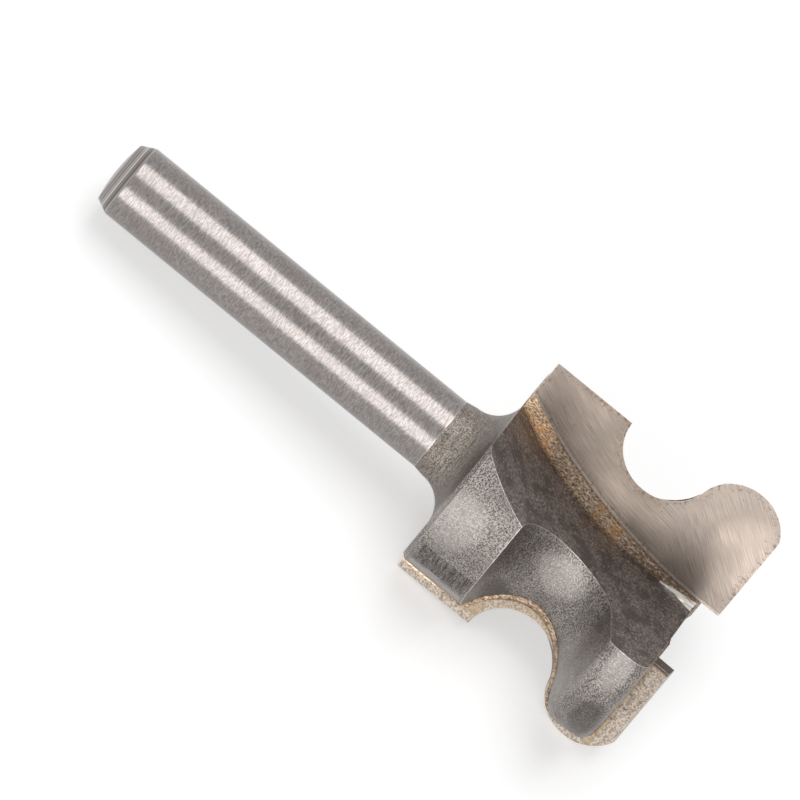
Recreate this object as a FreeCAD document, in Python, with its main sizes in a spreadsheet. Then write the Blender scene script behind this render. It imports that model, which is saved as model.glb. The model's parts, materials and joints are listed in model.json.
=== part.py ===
import FreeCAD, Part
import math
import os
import re
import Sketcher

# Driving sizes in millimetres, heights measured up the axis from the cutting end
sizes = {
    "overall_length": 57.3,
    "shank_diameter": 6.35,
    "ground_length": 32.0,
    "shank_end_diameter": 5.0,
    "shank_bevel_length": 1.2,
    "neck_diameter": 6.66,
    "neck_fillet": 2.6,
    "cutter_height": 21.8,
    "cutting_diameter": 25.4,
    "land_diameter": 20.94,
    "cove_radius": 3.8,
    "bulb_radius": 3.65,
    "bulb_height": 3.38,
    "rake_offset": 1.5,
    "tip_thickness": 1.15,
    "tip_gap_first": 0.05,
    "tip_gap_second": 0.3,
    "radial_relief": 0.5,
    "side_relief": 0.1,
    "end_relief": 0.12,
    "trace_radius": 45.0,
    "trace_offset": 2.2,
    "trace_height": 1.5,
    "tip_overhang": 1.85,
    "land_setback": 1.32,
    "bulb_setback": 1.25,
    "cove_setback": 1.1,
    "cove_lift": 0.5,
    "cove_throat": 7.54,
    "cove_shift": 3.0,
    "end_corner": 1.3,
    "flank_corner": 1.8,
    "flank_blend": 0.1,
    "land_corner": 0.35,
    "disc_radius": 27.0,
    "disc_height": 7.2,
    "wall_offset": 1.22,
    "cut_clearance": 1.0,
    "braze_gap": 0.1,
    "braze_bead": 0.25,
    "braze_recess": 0.15,
}
wing_count = 2
touch_rounds = 4

# Lengths that several outlines share, written in the sizes above
land_reach = "sqrt((land_diameter / 2) ^ 2 - rake_offset ^ 2)"
bulb_reach = "(sqrt((cutting_diameter / 2) ^ 2 - rake_offset ^ 2) - bulb_radius)"
cove_height = f"(bulb_height + sqrt((cove_radius + bulb_radius) ^ 2 - ({land_reach} - {bulb_reach}) ^ 2))"
land_radius = "(land_diameter / 2 - land_setback)"
bulb_rim = "(cutting_diameter / 2 - bulb_setback)"
steel_cove = "(cove_radius + cove_setback)"
steel_cove_height = f"({cove_height} + cove_lift)"
flank_height = f"({steel_cove_height} - {steel_cove})"
tip_tops = ["(cutter_height - tip_gap_first)", "(cutter_height - tip_gap_second)"]
seat_depth = "(rake_offset + tip_thickness + braze_gap)"


# Sheet of driving sizes
def make_sheet(doc):
    sheet = doc.addObject("Spreadsheet::Sheet", "Sizes")
    for row, (alias, value) in enumerate(sizes.items(), start=1):
        sheet.set(f"A{row}", alias)
        sheet.set(f"B{row}", str(value))
        sheet.setAlias(f"B{row}", alias)
    doc.recompute()
    return sheet


# Text of a length with each size named in the sheet
def bound(text):
    return re.sub(r"[a-z_]+", lambda word: f"Sizes.{word[0]}" if word[0] in sizes else word[0], text)


def value_of(owner, text):
    return float(owner.evalExpression(bound(text)))


# Sketch on one of the body's origin planes, moved along the plane's normal
def sketch_on(body, name, plane, offset="0"):
    sketch = body.newObject("Sketcher::SketchObject", name)
    role = next(item for item in body.Origin.OriginFeatures if item.Role == plane)
    sketch.AttachmentSupport = [(role, "")]
    sketch.MapMode = "FlatFace"
    sketch.setExpression(".AttachmentOffset.Base.z", bound(offset))
    return sketch


# Ties one coordinate of a sketch point to a length
def pin(sketch, kind, element, point, text):
    at = value_of(sketch, text)
    if abs(at) < 1e-9:
        sketch.addConstraint(Sketcher.Constraint("PointOnObject", element, point, -2 if kind == "DistanceX" else -1))
        return
    index = sketch.addConstraint(Sketcher.Constraint(kind, -1, 1, element, point, at))
    sketch.setExpression(f"Constraints[{index}]", bound(text))


# Arc between two corners about a centre, always stored counter-clockwise
def arc_between(centre, start, end, turn):
    radius = (start - centre).Length
    first, last = (start, end) if turn == "left" else (end, start)
    angles = [math.atan2(corner.y - centre.y, corner.x - centre.x) for corner in (first, last)]
    if angles[1] < angles[0]:
        angles[1] += 2 * math.pi
    return Part.ArcOfCircle(Part.Circle(centre, FreeCAD.Vector(0, 0, 1), radius), *angles)


# Closed outline of corners (across, up) or (across, up, arc centre across, arc centre up, turn)
def draw_outline(sketch, corners):
    places = [FreeCAD.Vector(value_of(sketch, corner[0]), value_of(sketch, corner[1]), 0) for corner in corners]
    starts, ends = [], []
    for index, corner in enumerate(corners):
        start, end = places[index], places[(index + 1) % len(places)]
        if len(corner) == 2:
            element = sketch.addGeometry(Part.LineSegment(start, end))
            starts.append((element, 1))
            ends.append((element, 2))
            continue
        centre = FreeCAD.Vector(value_of(sketch, corner[2]), value_of(sketch, corner[3]), 0)
        element = sketch.addGeometry(arc_between(centre, start, end, corner[4]))
        starts.append((element, 1 if corner[4] == "left" else 2))
        ends.append((element, 2 if corner[4] == "left" else 1))
    for index in range(len(corners)):
        sketch.addConstraint(Sketcher.Constraint("Coincident", *ends[index - 1], *starts[index]))
    for index, corner in enumerate(corners):
        pin(sketch, "DistanceX", *starts[index], corner[0])
        pin(sketch, "DistanceY", *starts[index], corner[1])
        if len(corner) > 2:
            chord = places[(index + 1) % len(places)] - places[index]
            upright = abs(chord.y) > abs(chord.x)
            pin(sketch, "DistanceX" if upright else "DistanceY", starts[index][0], 3, corner[2 if upright else 3])


# Corners of the turned head, from the end face up to the land, grown by a skin
def head_corners(skin):
    rim = f"{bulb_rim} + {skin}"
    crown = f"{bulb_rim} - flank_corner"
    end = f"tip_overhang - {skin}"
    low, high = "tip_overhang + end_corner", f"{flank_height} + flank_blend - flank_corner"
    return [
        ("0", end),
        (f"{bulb_rim} - end_corner", end, f"{bulb_rim} - end_corner", low, "left"),
        (rim, low),
        (rim, high, crown, high, "left"),
        (crown, f"{flank_height} + flank_blend + {skin}"),
        (crown, steel_cove_height),
        (f"{land_radius} + {skin}", steel_cove_height),
    ]


# Corners of the land, shoulder, neck and shank above the head
def shank_corners():
    neck, shank = "neck_diameter / 2", "shank_diameter / 2"
    return [
        (land_radius, "cutter_height - land_corner"),
        (f"{land_radius} - land_corner", "cutter_height"),
        (f"{neck} + neck_fillet", "cutter_height", f"{neck} + neck_fillet", "cutter_height + neck_fillet", "right"),
        (neck, "cutter_height + neck_fillet"),
        (shank, "overall_length - ground_length"),
        (shank, "overall_length - shank_bevel_length"),
        ("shank_end_diameter / 2", "overall_length"),
        ("0", "overall_length"),
    ]


# Solid turned about the bit's axis
def turn_blank(body, corners):
    profile = sketch_on(body, "TurnedProfile", "XZ_Plane")
    draw_outline(profile, corners)
    blank = body.newObject("PartDesign::Revolution", "TurnedBlank")
    blank.Profile = profile
    blank.ReferenceAxis = (profile, ["V_Axis"])
    blank.Angle = 360.0
    profile.Document.recompute()
    return blank


# Relieved cove: a round groove turned about an axis set off behind each cutting edge
def cut_coves(body, skin):
    profile = sketch_on(body, "CoveProfile", "YZ_Plane")
    centre = f"cove_throat + {steel_cove} - cove_shift"
    reach = "cutting_diameter"
    low = f"{steel_cove_height} - {steel_cove} + {skin}"
    high = f"{steel_cove_height} + {steel_cove} - {skin}"
    draw_outline(profile, [
        (reach, low),
        (centre, low, centre, steel_cove_height, "right"),
        (centre, high),
        (reach, high),
    ])
    axis = profile.addGeometry(Part.LineSegment(FreeCAD.Vector(-1, 0, 0), FreeCAD.Vector(-1, 1, 0)), True)
    for point in (1, 2):
        pin(profile, "DistanceX", axis, point, "-cove_shift")
    pin(profile, "DistanceY", axis, 1, "0")
    pin(profile, "DistanceY", axis, 2, "cutter_height")
    groove = body.newObject("PartDesign::Groove", "CoveGroove")
    groove.Profile = profile
    groove.ReferenceAxis = (profile, ["Axis0"])
    groove.Angle = 360.0
    profile.Document.recompute()
    return repeat_round(body, groove, "CovePair")


# Same cut on every wing
def repeat_round(body, feature, name):
    pattern = body.newObject("PartDesign::PolarPattern", name)
    pattern.Originals = [feature]
    pattern.Axis = (next(item for item in body.Origin.OriginFeatures if item.Role == "Z_Axis"), [""])
    pattern.Angle = 360.0
    pattern.Occurrences = wing_count
    body.Tip = pattern
    body.Document.recompute()
    return pattern


# Gullet and tip seat milled in one pass by a wide disc
def cut_gullets(body):
    profile = sketch_on(body, "GulletProfile", "XZ_Plane", f"-{seat_depth}")
    top, bottom, reach = "cutter_height + cut_clearance", "-cut_clearance", "cutting_diameter"
    disc = "wall_offset + disc_radius"
    run_out = f"{disc} - sqrt(disc_radius ^ 2 - ({top} - disc_height) ^ 2)"
    draw_outline(profile, [
        ("wall_offset", bottom),
        (reach, bottom),
        (reach, top),
        (run_out, top, disc, "disc_height", "left"),
        ("wall_offset", "disc_height"),
    ])
    gullet = body.newObject("PartDesign::Pocket", "Gullet")
    gullet.Profile = profile
    gullet.Type = "ThroughAll"
    gullet.Reversed = True
    profile.Document.recompute()
    return repeat_round(body, gullet, "GulletPair")


# Steel body: shank, neck and two-lobed head in one piece
def make_body(doc):
    body = doc.addObject("PartDesign::Body", "body")
    body.Label = "body"
    blank = turn_blank(body, head_corners("0") + shank_corners())
    coves = cut_coves(body, "0")
    gullets = cut_gullets(body)
    assert blank.Shape.Volume > coves.Shape.Volume > gullets.Shape.Volume
    return body


# Outline of a tip at a depth behind the rake face, moved in by its radial, side and end reliefs
def draw_tip(body, name, depth, top, radial, side, end):
    profile = sketch_on(body, name, "XZ_Plane", f"-({depth})")
    trace = "trace_offset + trace_radius"
    share = f"(bulb_radius - {side}) / (cove_radius + bulb_radius)"
    bulb, cove = f"({bulb_reach} - {radial})", f"({land_reach} - {radial})"
    land = f"{cove} - {side}"
    draw_outline(profile, [
        (f"{trace} - sqrt(trace_radius ^ 2 - ({end} - trace_height) ^ 2)", end),
        (f"{bulb} + sqrt((bulb_radius - {side}) ^ 2 - (bulb_height - {end}) ^ 2)", end,
         bulb, "bulb_height", "left"),
        (f"{bulb} + ({cove} - {bulb}) * {share}",
         f"bulb_height + ({cove_height} - bulb_height) * {share}",
         cove, cove_height, "right"),
        (land, f"{cove_height} + sqrt((cove_radius + {side}) ^ 2 - ({side}) ^ 2)"),
        (land, top),
        (f"{trace} - sqrt(trace_radius ^ 2 - ({top} - trace_height) ^ 2)", top,
         trace, "trace_height", "left"),
    ])
    return profile


# Carbide tip: flat rake face in front, relieved edges, flat back on the seat
def make_tip(doc, label, top):
    body = doc.addObject("PartDesign::Body", label)
    body.Label = label
    back_depth = "rake_offset + tip_thickness"
    front = draw_tip(body, "RakeFace", "rake_offset", top, "0", "0", "0")
    back = draw_tip(body, "BackFace", back_depth, top, "radial_relief", "side_relief", "end_relief")
    doc.recompute()
    tip = body.newObject("PartDesign::AdditiveLoft", "Tip")
    tip.Profile = front
    tip.Sections = [(back, [""])]
    tip.Ruled = True
    body.Tip = tip
    doc.recompute()
    return body


# Space that the molten braze could fill: the steel head grown by the bead
def make_envelope(doc):
    body = doc.addObject("PartDesign::Body", "BrazeEnvelope")
    skin = "braze_bead"
    corners = head_corners(skin)
    corners += [(f"{land_radius} + {skin}", "cutter_height"), ("0", "cutter_height")]
    turn_blank(body, corners)
    cut_coves(body, skin)
    return body


# Braze: film behind a tip, fillet along the gullet wall and bead round the seat
def make_braze(doc, label, envelope, steel, tip, top):
    slab = doc.addObject("Part::Box", f"{label}_slab")
    slab.setExpression("Length", bound("cutting_diameter"))
    slab.setExpression("Width", bound("tip_thickness + braze_gap + braze_bead - braze_recess"))
    slab.setExpression("Height", bound(top))
    pool = doc.addObject("Part::Common", f"{label}_pool")
    pool.Base, pool.Tool = envelope, slab
    film = doc.addObject("Part::Cut", f"{label}_film")
    film.Base, film.Tool = pool, steel
    braze = doc.addObject("Part::Cut", label)
    braze.Base, braze.Tool = film, tip
    braze.Label = label
    doc.recompute()
    return braze, slab


# Points of the head that the lying bit stands on: one tip's bulb and top corner, and the lobe's heel
def support_points(sheet, slope):
    rake = value_of(sheet, "rake_offset")
    bulb = value_of(sheet, "bulb_radius")
    heel_height = value_of(sheet, "cutter_height - land_corner")
    heel_wall = value_of(sheet, "wall_offset + disc_radius") - math.sqrt(
        value_of(sheet, "disc_radius") ** 2 - (heel_height - value_of(sheet, "disc_height")) ** 2)
    bulb_edge = FreeCAD.Vector(
        -value_of(sheet, bulb_reach) - bulb * math.cos(slope), -rake,
        value_of(sheet, "bulb_height") + bulb * math.sin(slope))
    top_corner = FreeCAD.Vector(-value_of(sheet, land_reach), -rake, value_of(sheet, tip_tops[-1]))
    heel = FreeCAD.Vector(-heel_wall, math.sqrt(value_of(sheet, land_radius) ** 2 - heel_wall ** 2), heel_height)
    return bulb_edge, top_corner, heel


# Turn that brings the three points onto the floor, with the bit's length along X
def rest_rotation(sheet):
    slope = 0.0
    for _ in range(touch_rounds):
        bulb_edge, top_corner, heel = support_points(sheet, slope)
        down = (top_corner - bulb_edge).cross(heel - bulb_edge).normalize()
        down = down if down.dot(heel) > 0 else down * -1
        slope = math.atan2(down.z, abs(down.x))
    up = down * -1
    cutting_way = FreeCAD.Vector(0, 0, -1)
    along = (cutting_way - up * cutting_way.dot(up)).normalize()
    across = up.cross(along)
    rows = [along.x, along.y, along.z, 0, across.x, across.y, across.z, 0, up.x, up.y, up.z, 0, 0, 0, 0, 1]
    return FreeCAD.Placement(FreeCAD.Matrix(*rows))


# Rest pose with the origin under the middle of the bounding box
def rest_placement(sheet, shapes):
    turn = rest_rotation(sheet)
    lying = Part.makeCompound([shape.transformed(turn.toMatrix()) for shape in shapes])
    box = lying.optimalBoundingBox(False, False)
    shift = FreeCAD.Vector(-box.Center.x, -box.Center.y, -box.ZMin)
    return FreeCAD.Placement(shift, turn.Rotation)


def check_document(doc, parts):
    for item in doc.Objects:
        if {"Invalid", "Error"} & set(item.State):
            raise RuntimeError(f"{item.Label} failed: {item.State}")
    for part in parts:
        if part.Shape.isNull() or not part.Shape.isValid():
            raise RuntimeError(f"{part.Label} has no valid shape")


def main():
    doc = FreeCAD.newDocument("FingerPullBit")
    sheet = make_sheet(doc)
    steel = make_body(doc)
    envelope = make_envelope(doc)
    tips = [make_tip(doc, f"carbide_tip_{wing + 1}", tip_tops[wing]) for wing in range(wing_count)]
    turns = [FreeCAD.Rotation(FreeCAD.Vector(0, 0, 1), 360 * wing / wing_count) for wing in range(wing_count)]
    turned = [tip.Shape.transformed(FreeCAD.Placement(FreeCAD.Vector(), turn).toMatrix())
              for tip, turn in zip(tips, turns)]
    rest = rest_placement(sheet, [steel.Shape] + turned)
    steel.Placement = rest
    envelope.Placement = rest
    brazes = []
    corner = FreeCAD.Vector(0, value_of(sheet, "rake_offset + braze_recess"), 0)
    for wing, tip in enumerate(tips):
        tip.Placement = rest.multiply(FreeCAD.Placement(FreeCAD.Vector(), turns[wing]))
        braze, slab = make_braze(doc, f"braze_{wing + 1}", envelope, steel, tip, tip_tops[wing])
        slab.Placement = tip.Placement.multiply(FreeCAD.Placement(corner, FreeCAD.Rotation()))
        brazes.append(braze)
    doc.recompute()
    parts = [steel] + tips + brazes
    check_document(doc, parts)
    os.makedirs("parts", exist_ok=True)
    for part in parts:
        part.Shape.exportStep(f"parts/{part.Label}.step")


main()
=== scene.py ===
import bmesh
import bpy
import json
import math
from mathutils import Matrix, Vector
from mathutils.kdtree import KDTree


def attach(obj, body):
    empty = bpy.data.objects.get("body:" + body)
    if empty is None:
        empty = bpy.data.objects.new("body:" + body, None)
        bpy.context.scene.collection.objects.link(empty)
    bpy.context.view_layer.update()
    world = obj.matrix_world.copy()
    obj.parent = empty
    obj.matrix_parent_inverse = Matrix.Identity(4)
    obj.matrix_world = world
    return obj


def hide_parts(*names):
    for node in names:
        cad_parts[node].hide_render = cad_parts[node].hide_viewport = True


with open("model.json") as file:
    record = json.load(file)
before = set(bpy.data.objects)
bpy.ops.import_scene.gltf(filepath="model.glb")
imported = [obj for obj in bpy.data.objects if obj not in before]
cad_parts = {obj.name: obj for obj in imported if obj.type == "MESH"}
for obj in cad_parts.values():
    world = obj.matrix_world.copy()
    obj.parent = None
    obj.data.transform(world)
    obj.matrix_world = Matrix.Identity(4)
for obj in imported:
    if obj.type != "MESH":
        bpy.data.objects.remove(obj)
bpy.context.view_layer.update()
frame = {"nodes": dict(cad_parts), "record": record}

mm = 0.001
fullTurn = 2 * math.pi


# One socket of a node tree, so that sums on it can be written as Python expressions
class Signal:
    def __init__(self, graph, socket):
        self.graph, self.socket = graph, socket

    def other(self, name):
        return Signal(self.graph, self.socket.node.outputs[name])

    def math(self, operation, *values):
        return self.graph.node("ShaderNodeMath", {"operation": operation}, dict(enumerate(values)))

    def __add__(self, value): return self.math("ADD", self, value)
    def __radd__(self, value): return self.math("ADD", value, self)
    def __sub__(self, value): return self.math("SUBTRACT", self, value)
    def __rsub__(self, value): return self.math("SUBTRACT", value, self)
    def __mul__(self, value): return self.math("MULTIPLY", self, value)
    def __rmul__(self, value): return self.math("MULTIPLY", value, self)
    def __truediv__(self, value): return self.math("DIVIDE", self, value)
    def __rtruediv__(self, value): return self.math("DIVIDE", value, self)
    def __pow__(self, value): return self.math("POWER", self, value)
    def __abs__(self): return self.math("ABSOLUTE", self)
    def __mod__(self, value): return self.math("FLOORED_MODULO", self, value)


# A node tree, shader or geometry, with one method that adds any node
class Graph:
    def __init__(self, tree):
        self.tree = tree

    def node(self, kind, settings=None, inputs=None, output=0):
        made = self.tree.nodes.new(kind)
        for name, value in (settings or {}).items():
            if name == "stops":
                while len(made.color_ramp.elements) < len(value):
                    made.color_ramp.elements.new(0.5)
                for element, (place, colour) in zip(made.color_ramp.elements, value):
                    element.position, element.color = place, (*colour, 1.0)
            else:
                setattr(made, name, value)
        for name, value in (inputs or {}).items():
            several = value if isinstance(value, list) else [value]
            for one in several:
                if isinstance(one, Signal):
                    self.tree.links.new(one.socket, made.inputs[name])
                else:
                    made.inputs[name].default_value = one
        return Signal(self, made.outputs[output]) if len(made.outputs) else made

    def high(self, first, second):
        return self.node("ShaderNodeMath", {"operation": "MAXIMUM"}, {0: first, 1: second})

    def ramp(self, value, start, end, low=0.0, high=1.0):      # smooth step from low to high
        return self.node("ShaderNodeMapRange", {"interpolation_type": "SMOOTHSTEP", "clamp": True}, {
            "Value": value, "From Min": start, "From Max": end, "To Min": low, "To Max": high})

    def noise(self, where, scale, detail=3.0, rough=0.55):
        return self.node("ShaderNodeTexNoise", None, {
            "Vector": where, "Scale": scale, "Detail": detail, "Roughness": rough}, "Fac")

    def cells(self, where, scale, spread=1.0):
        return self.node("ShaderNodeTexVoronoi", {"feature": "F1"}, {
            "Vector": where, "Scale": scale, "Randomness": spread}, "Distance")

    def mix(self, share, first, second, blend="MIX"):          # two colours
        return self.node("ShaderNodeMix", {"data_type": "RGBA", "blend_type": blend}, {
            0: share, 6: colour(first), 7: colour(second)}, 2)

    def band(self, value, centre, reach, soft):         # 1 around the centre, 0 beyond reach + soft
        return self.ramp(abs(value - centre), reach, reach + soft, 1.0, 0.0)

    def spot(self, first, second, centre, reach):         # 1 in the middle of an oval, 0 at its rim
        away = ((first - centre[0]) / reach[0]) ** 2.0 + ((second - centre[1]) / reach[1]) ** 2.0
        return self.ramp(away, 0.25, 1.0, 1.0, 0.0)

    def stretch(self, where, scale):
        return self.node("ShaderNodeVectorMath", {"operation": "MULTIPLY"}, {0: where, 1: scale})


def colour(value):
    return (*value, 1.0) if isinstance(value, tuple) and len(value) == 3 else value


# Middle of the collet's grip, where the record puts the mount
# All lengths are millimetres in the bit's own frame: cutting end at z = 0, shank up, wing 1 to +x
placing = {"collarHeight": 40.7}


def bitFrame():
    mount = next(item for item in frame["record"]["mounts"] if item["name"] == "shank")
    up = Vector(mount["axis"]).normalized()
    origin = Vector(mount["pos_m"]) - up * placing["collarHeight"] * mm
    faces = frame["nodes"]["carbide_tip_1"].data.polygons
    biggest = {}
    for face in faces:                                        # the rake face is the widest flat one
        key = tuple(round(part, 2) for part in face.normal)
        total, normal = biggest.get(key, (0.0, Vector()))
        biggest[key] = (total + face.area, normal + face.normal * face.area)
    rake = max(biggest.values(), key=lambda item: item[0])[1].normalized()
    behind = -(rake - up * rake.dot(up)).normalized()
    out = behind.cross(up)
    turn = Matrix((out, behind, up)).transposed()
    return turn, origin


bitTurn, bitOrigin = bitFrame()
bitToWorld = Matrix.Translation(bitOrigin) @ bitTurn.to_4x4() @ Matrix.Scale(mm, 4)
worldToBit = bitToWorld.inverted()
print("bit's frame found, its origin at", *(round(part, 5) for part in bitOrigin))


def objectOf(name, mesh):
    made = bpy.data.objects.new(name, mesh)
    bpy.context.scene.collection.objects.link(made)
    return made


def arcOf(centre, radius, start, end, count):                 # points along an arc, its end left out
    turns = [start + (end - start) * i / count for i in range(count)]
    return [(centre[0] + radius * math.cos(turn), centre[1] + radius * math.sin(turn))
            for turn in turns]


def lineOf(start, end, count):                                # points along a line, its end left out
    return [(start[0] + (end[0] - start[0]) * i / count,
             start[1] + (end[1] - start[1]) * i / count) for i in range(count)]


def arc(centre, radius, start, end, step):
    return arcOf(centre, radius, start, end, max(2, math.ceil(abs(end - start) * radius / step)))


def line(start, end, step):
    return lineOf(start, end, max(1, math.ceil(math.dist(start, end) / step)))


meshing = {"weld": 0.002, "sliver": 2e-5, "probe": 0.06, "slack": 1.5, "growth": 2.2, "rounds": 9,
           "farthest": 3.0}


def sharpEdges(mesh, degrees):
    limit = math.radians(degrees)
    return [edge for edge in mesh.edges
            if len(edge.link_faces) == 2 and edge.calc_face_angle(0.0) > limit
            and min(face.calc_area() for face in edge.link_faces) > meshing["sliver"]]


def splitBetween(first, last):                                # cut the face that both corners share
    face = next(face for face in first.link_faces if last in face.verts)
    bmesh.utils.face_split(face, first, last)


# A new point halfway along each edge, and the triangles round it split to triangles again
def halve(mesh, edges):
    fresh = {bmesh.utils.edge_split(edge, edge.verts[0], 0.5)[1] for edge in edges}
    for face in {face for vert in fresh for face in vert.link_faces}:
        corners = list(face.verts)
        cuts = [corner for corner in corners if corner in fresh]
        if len(cuts) == 1:
            splitBetween(cuts[0], corners[(corners.index(cuts[0]) + 2) % 4])
        elif len(cuts) == 3:
            for i in range(3):
                splitBetween(cuts[i], cuts[(i + 1) % 3])
        else:                                    # the corner between the cuts, then the shorter way
            splitBetween(*cuts)
            places = [corners.index(cut) for cut in cuts]
            if (places[1] - places[0]) % 5 == 3:
                cuts, places = cuts[::-1], places[::-1]
            ways = [(cuts[0], corners[(places[1] + 1) % 5]),
                    (cuts[1], corners[(places[0] - 1) % 5])]
            splitBetween(*min(ways, key=lambda way: (way[0].co - way[1].co).length))


# Finer triangles near the sharp edges, and each point's distance from them, for the pale edge lines of
# wear and painted highlight
def finishMesh(mesh, sizes):
    m = meshing
    bmesh.ops.remove_doubles(mesh, verts=mesh.verts, dist=m["weld"])
    bmesh.ops.triangulate(mesh, faces=mesh.faces)
    places = []
    for edge in sharpEdges(mesh, sizes["sharpFrom"]):
        edge.smooth = False
        first, last = (vert.co for vert in edge.verts)
        count = max(1, int((last - first).length / m["probe"]))
        places += [first.lerp(last, i / count) for i in range(count + 1)]
    tree = KDTree(len(places))
    for index, place in enumerate(places):
        tree.insert(place, index)
    tree.balance()
    shortest = sizes["finest"] * m["slack"]
    for _ in range(m["rounds"]):
        long = []
        for edge in mesh.edges:
            length = edge.calc_length()
            if length <= shortest:
                continue
            away = tree.find((edge.verts[0].co + edge.verts[1].co) / 2)[2] - length / 2
            if length > max(shortest, min(sizes["coarsest"] * 2, away * m["growth"])):
                long.append(edge)
        if not long:
            break
        halve(mesh, long)
    bmesh.ops.recalc_face_normals(mesh, faces=mesh.faces)
    away = mesh.verts.layers.float.new("edgeDistance")
    for vert in mesh.verts:
        vert[away] = min(m["farthest"], tree.find(vert.co)[2])
    for face in mesh.faces:
        face.smooth = True
    return mesh


def meshOf(name, geometry):                                   # into the world's metres
    mesh = bpy.data.meshes.new(name)
    geometry.to_mesh(mesh)
    geometry.free()
    mesh.transform(bitToWorld)
    return mesh


def plainMesh(source):                                    # what the modifiers make, as a plain mesh
    evaluated = source.evaluated_get(bpy.context.evaluated_depsgraph_get())
    mesh = bpy.data.meshes.new_from_object(evaluated)
    bpy.data.objects.remove(source)
    return mesh


def addTree(piece, tree, values):
    modifier = piece.modifiers.new(tree.name, "NODES")
    modifier.node_group = tree
    for item in tree.interface.items_tree:
        if item.item_type == "SOCKET" and item.in_out == "INPUT" and item.name in values:
            modifier[item.identifier] = values[item.name]
    return modifier


def newTree(name, sockets):
    tree = bpy.data.node_groups.new(name, "GeometryNodeTree")
    tree.interface.new_socket("Geometry", in_out="INPUT", socket_type="NodeSocketGeometry")
    tree.interface.new_socket("Geometry", in_out="OUTPUT", socket_type="NodeSocketGeometry")
    for label, kind in sockets:
        tree.interface.new_socket(label, in_out="INPUT", socket_type=kind)
    graph = Graph(tree)
    return graph, graph.node("NodeGroupInput")


def closeTree(graph, geometry, material):              # every tree ends in these two and its output
    real = graph.node("GeometryNodeRealizeInstances", None, {"Geometry": geometry})
    dressed = graph.node("GeometryNodeSetMaterial", None, {"Geometry": real, "Material": material})
    graph.node("NodeGroupOutput", None, {0: dressed})
    return graph.tree


# A profile, points across x and up z, turned about an upright axis
def turningTree():
    graph, given = newTree("turnedProfile", [
        ("Around", "NodeSocketInt"), ("Axis Aside", "NodeSocketFloat"),
        ("Material", "NodeSocketMaterial")])
    profile = given.other("Geometry")
    rings = graph.node("GeometryNodeAttributeDomainSize", {"component": "MESH"}, {
        0: profile}, "Point Count")
    sheet = graph.node("GeometryNodeMeshGrid", None, {
        "Vertices X": given.other("Around") + 1, "Vertices Y": rings}, "Mesh")
    index = graph.node("GeometryNodeInputIndex")
    column = graph.node("ShaderNodeMath", {"operation": "FLOOR"}, {0: (index + 0.5) / rings})
    place = graph.node("GeometryNodeSampleIndex", {
        "data_type": "FLOAT_VECTOR", "domain": "POINT"}, {
        "Geometry": profile, "Value": graph.node("GeometryNodeInputPosition"),
        "Index": index % rings}, "Value")
    parts = graph.node("ShaderNodeSeparateXYZ", None, {0: place}, "X")
    angle = column * fullTurn / given.other("Around")
    turned = graph.node("ShaderNodeCombineXYZ", None, {
        "X": parts * angle.math("COSINE", angle),
        "Y": parts * angle.math("SINE", angle) + given.other("Axis Aside"),
        "Z": parts.other("Z")})
    shell = graph.node("GeometryNodeSetPosition", None, {"Geometry": sheet, "Position": turned})
    closed = graph.node("GeometryNodeMergeByDistance", None, {
        "Geometry": shell, "Distance": 0.0005})
    return closeTree(graph, closed, given.other("Material"))


# Cove and gullet cutters taken from the turned blank once for each wing
def millingTree():
    graph, given = newTree("milledWings", [
        ("Cove Cutter", "NodeSocketObject"), ("Gullet Cutter", "NodeSocketObject"),
        ("Wings", "NodeSocketInt"), ("Material", "NodeSocketMaterial")])
    start = graph.tree.nodes.new("GeometryNodeRepeatInput")
    end = graph.tree.nodes.new("GeometryNodeRepeatOutput")
    start.pair_with_output(end)
    graph.tree.links.new(given.other("Geometry").socket, start.inputs["Geometry"])
    graph.tree.links.new(given.other("Wings").socket, start.inputs["Iterations"])
    body = Signal(graph, start.outputs["Geometry"])
    share = Signal(graph, start.outputs["Iteration"]) * fullTurn / given.other("Wings")
    turn = graph.node("ShaderNodeCombineXYZ", None, {"Z": share})
    for cutter in ("Cove Cutter", "Gullet Cutter"):
        tool = graph.node("GeometryNodeObjectInfo", None, {
            "Object": given.other(cutter)}, "Geometry")
        turned = graph.node("GeometryNodeTransform", None, {"Geometry": tool, "Rotation": turn})
        body = graph.node("GeometryNodeMeshBoolean", {
            "operation": "DIFFERENCE", "solver": "MANIFOLD"}, {
            "Mesh 1": body, "Mesh 2": turned}, "Mesh")
    graph.tree.links.new(body.socket, end.inputs["Geometry"])
    return closeTree(graph, Signal(graph, end.outputs["Geometry"]), given.other("Material"))


# A cast skin: the surface moved in and out by a lumpy noise
def lumpTree():
    graph, given = newTree("castSkin", [
        ("Height", "NodeSocketFloat"), ("Size", "NodeSocketFloat"), ("Seed", "NodeSocketFloat"),
        ("Material", "NodeSocketMaterial")])
    where = graph.node("GeometryNodeInputPosition")
    shifted = graph.node("ShaderNodeVectorMath", {"operation": "ADD"}, {
        0: where, 1: given.other("Seed")})
    lump = graph.noise(shifted, given.other("Size"), 2.0) - 0.55
    normal = graph.node("GeometryNodeInputNormal")
    offset = graph.node("ShaderNodeVectorMath", {"operation": "SCALE"}, {
        0: normal, "Scale": lump * given.other("Height") * 2.0})
    moved = graph.node("GeometryNodeSetPosition", None, {
        "Geometry": given.other("Geometry"), "Offset": offset})
    return closeTree(graph, moved, given.other("Material"))


def newMaterial(name):
    material = bpy.data.materials.new(name)
    material.use_nodes = True
    material.node_tree.nodes.clear()
    return material, Graph(material.node_tree)


# The place in millimetres in the bit's own frame
def bitPlace(graph):
    where = graph.node("ShaderNodeTexCoord", None, None, "Object")
    return graph.node("ShaderNodeMapping", {"vector_type": "TEXTURE"}, {
        "Vector": where, "Location": bitOrigin, "Rotation": bitTurn.to_euler("XYZ"),
        "Scale": (mm, mm, mm)})


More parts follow.
